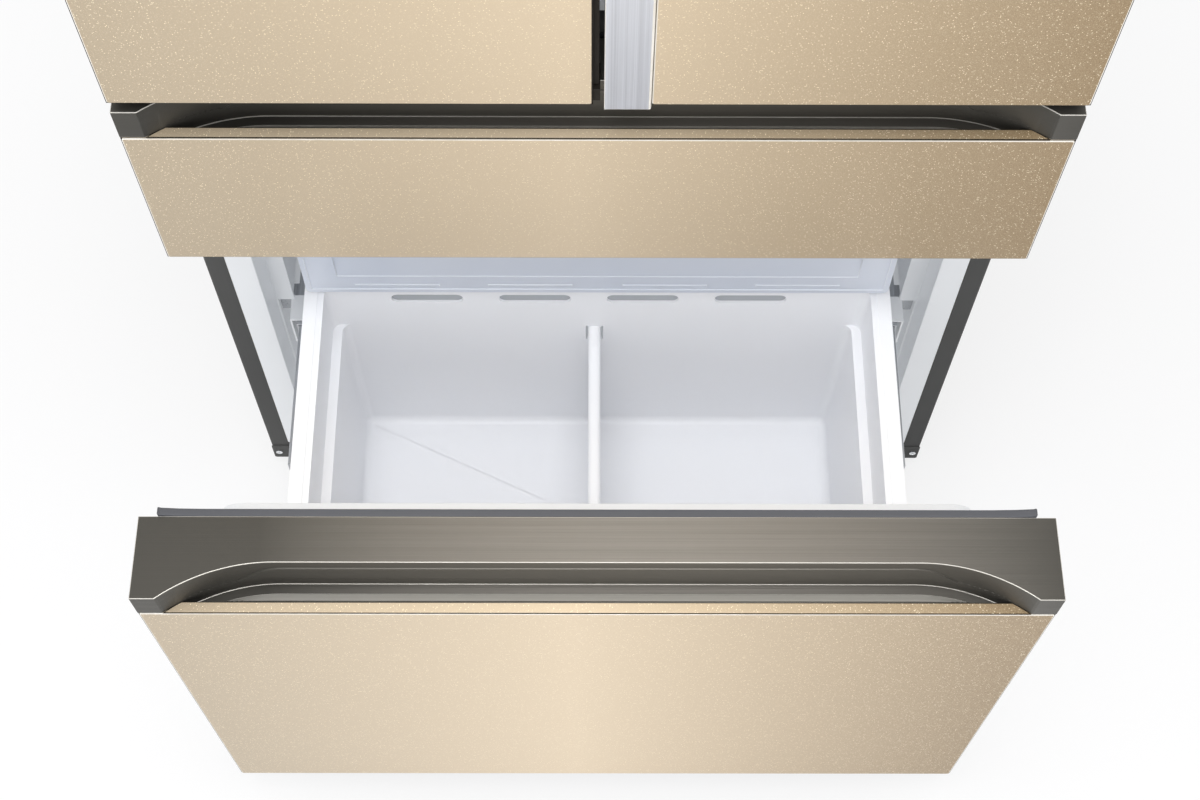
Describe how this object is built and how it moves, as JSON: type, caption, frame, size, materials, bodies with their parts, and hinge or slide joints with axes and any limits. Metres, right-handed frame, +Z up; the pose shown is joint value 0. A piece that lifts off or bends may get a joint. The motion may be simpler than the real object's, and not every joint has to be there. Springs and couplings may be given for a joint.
{
  "type": "refrigerator",
  "caption": "Tall refrigerator with glass-fronted French doors over a middle drawer and a pull-out freezer drawer with a divided basket and an inner tray.",
  "frame": {"origin": "on the floor under the middle of the whole object, with the freezer drawer standing open as shown", "axes": "+Z up, -Y towards the viewer out of the doors, +X to the viewer's right"},
  "size_m": [0.838, 1.0786, 1.79],
  "materials": {
    "painted_dark": "satin",
    "galvanised": "satin",
    "foam": "matte",
    "liner_white": "gloss",
    "basket_white": "gloss",
    "clear_plastic": "gloss",
    "shelf_glass": "polished",
    "shelf_trim": "gloss",
    "gold_glass": "gloss",
    "titanium": "satin",
    "panel_frame": "satin",
    "silver_strip": "satin",
    "gasket_grey": "matte",
    "slide_steel": "satin",
    "bright_steel": "polished",
    "mullion_grey": "satin",
    "black_parts": "matte"
  },
  "bodies": {
    "cabinet": {"outer_wrapper": "painted_dark", "rear_panel": "galvanised", "insulation": "foam", "divider_foam": "foam", "fridge_liner": "liner_white", "middle_liner": "liner_white", "freezer_liner": "liner_white", "cross_rails": "painted_dark", "base_pan": "galvanised", "machine_cover": "galvanised", "compressor": "black_parts", "cord_inlet": "black_parts", "top_hinge_brackets": "bright_steel", "top_hinge_covers": "painted_dark", "middle_hinge_brackets": "painted_dark", "corner_brackets": "painted_dark", "screws": "bright_steel", "shelf_frames": "shelf_trim", "shelf_glasses": "shelf_glass", "fridge_duct_cover": "liner_white", "freezer_duct_cover": "liner_white", "cabinet_rails": "slide_steel", "rail_housings": "liner_white"},
    "left_door": {"left_door_body": "panel_frame", "left_door_glass": "gold_glass", "left_door_liner": "liner_white", "left_door_gasket": "gasket_grey", "left_door_bins": "clear_plastic"},
    "mullion": {"mullion_bar": "mullion_grey"},
    "right_door": {"right_door_body": "panel_frame", "right_door_glass": "gold_glass", "right_door_liner": "liner_white", "right_door_gasket": "gasket_grey", "right_door_bins": "clear_plastic", "handle_strip": "silver_strip"},
    "middle_drawer": {"middle_front": "panel_frame", "middle_glass": "gold_glass", "middle_grip": "titanium", "middle_trim": "gold_glass", "middle_inner_panel": "liner_white", "middle_gasket": "gasket_grey", "middle_box": "basket_white", "middle_runners": "slide_steel"},
    "freezer_drawer": {"freezer_front": "panel_frame", "freezer_glass": "gold_glass", "freezer_grip": "titanium", "freezer_trim": "gold_glass", "freezer_inner_panel": "liner_white", "freezer_gasket": "gasket_grey", "freezer_basket": "basket_white", "basket_divider": "basket_white", "freezer_runners": "slide_steel"},
    "slide_members": {"slide_members": "slide_steel"},
    "tray": {"freezer_tray": "clear_plastic"},
    "crisper_left": {"crisper_left": "clear_plastic"},
    "crisper_right": {"crisper_right": "clear_plastic"},
    "foot_left": {"foot_left": "black_parts"},
    "foot_right": {"foot_right": "black_parts"},
    "roller_left": {"roller_left": "black_parts"},
    "roller_right": {"roller_right": "black_parts"}
  },
  "joints": [
    {"name": "left_door_hinge", "type": "hinge", "parent": "cabinet", "child": "left_door", "pos_m": [-0.4045, -0.15175, 1.35], "axis": [0, 0, -1], "range_deg": [0, 120]},
    {"name": "right_door_hinge", "type": "hinge", "parent": "cabinet", "child": "right_door", "pos_m": [0.4045, -0.15175, 1.35], "axis": [0, 0, 1], "range_deg": [0, 120]},
    {"name": "mullion_hinge", "type": "hinge", "parent": "left_door", "child": "mullion", "pos_m": [-0.028, -0.09575, 1.34], "axis": [0, 0, 1], "range_deg": [-90, 0]},
    {"name": "middle_drawer_slide", "type": "slide", "parent": "cabinet", "child": "middle_drawer", "axis": [0, -1, 0], "range_m": [0, 0.35]},
    {"name": "freezer_drawer_slide", "type": "slide", "parent": "cabinet", "child": "freezer_drawer", "axis": [0, -1, 0], "range_m": [-0.348, 0.05]},
    {"name": "slide_member_slide", "type": "slide", "parent": "cabinet", "child": "slide_members", "axis": [0, -1, 0], "range_m": [-0.174, 0.025]},
    {"name": "tray_slide", "type": "slide", "parent": "cabinet", "child": "tray", "axis": [0, -1, 0], "range_m": [-0.174, 0.025]},
    {"name": "crisper_left_slide", "type": "slide", "parent": "cabinet", "child": "crisper_left", "axis": [0, -1, 0], "range_m": [0, 0.055]},
    {"name": "crisper_right_slide", "type": "slide", "parent": "cabinet", "child": "crisper_right", "axis": [0, -1, 0], "range_m": [0, 0.055]},
    {"name": "foot_left_screw", "type": "hinge", "parent": "cabinet", "child": "foot_left", "pos_m": [-0.37, -0.04375, 0.02], "axis": [0, 0, 1], "continuous": true},
    {"name": "foot_right_screw", "type": "hinge", "parent": "cabinet", "child": "foot_right", "pos_m": [0.37, -0.04375, 0.02], "axis": [0, 0, 1], "continuous": true},
    {"name": "roller_left_spin", "type": "hinge", "parent": "cabinet", "child": "roller_left", "pos_m": [-0.37, 0.45625, 0.02], "axis": [1, 0, 0], "continuous": true},
    {"name": "roller_right_spin", "type": "hinge", "parent": "cabinet", "child": "roller_right", "pos_m": [0.37, 0.45625, 0.02], "axis": [1, 0, 0], "continuous": true}
  ],
  "couplings": [
    {"joint": "slide_member_slide", "follows": "freezer_drawer_slide", "ratio": 0.5},
    {"joint": "tray_slide", "follows": "freezer_drawer_slide", "ratio": 0.5}
  ]
}
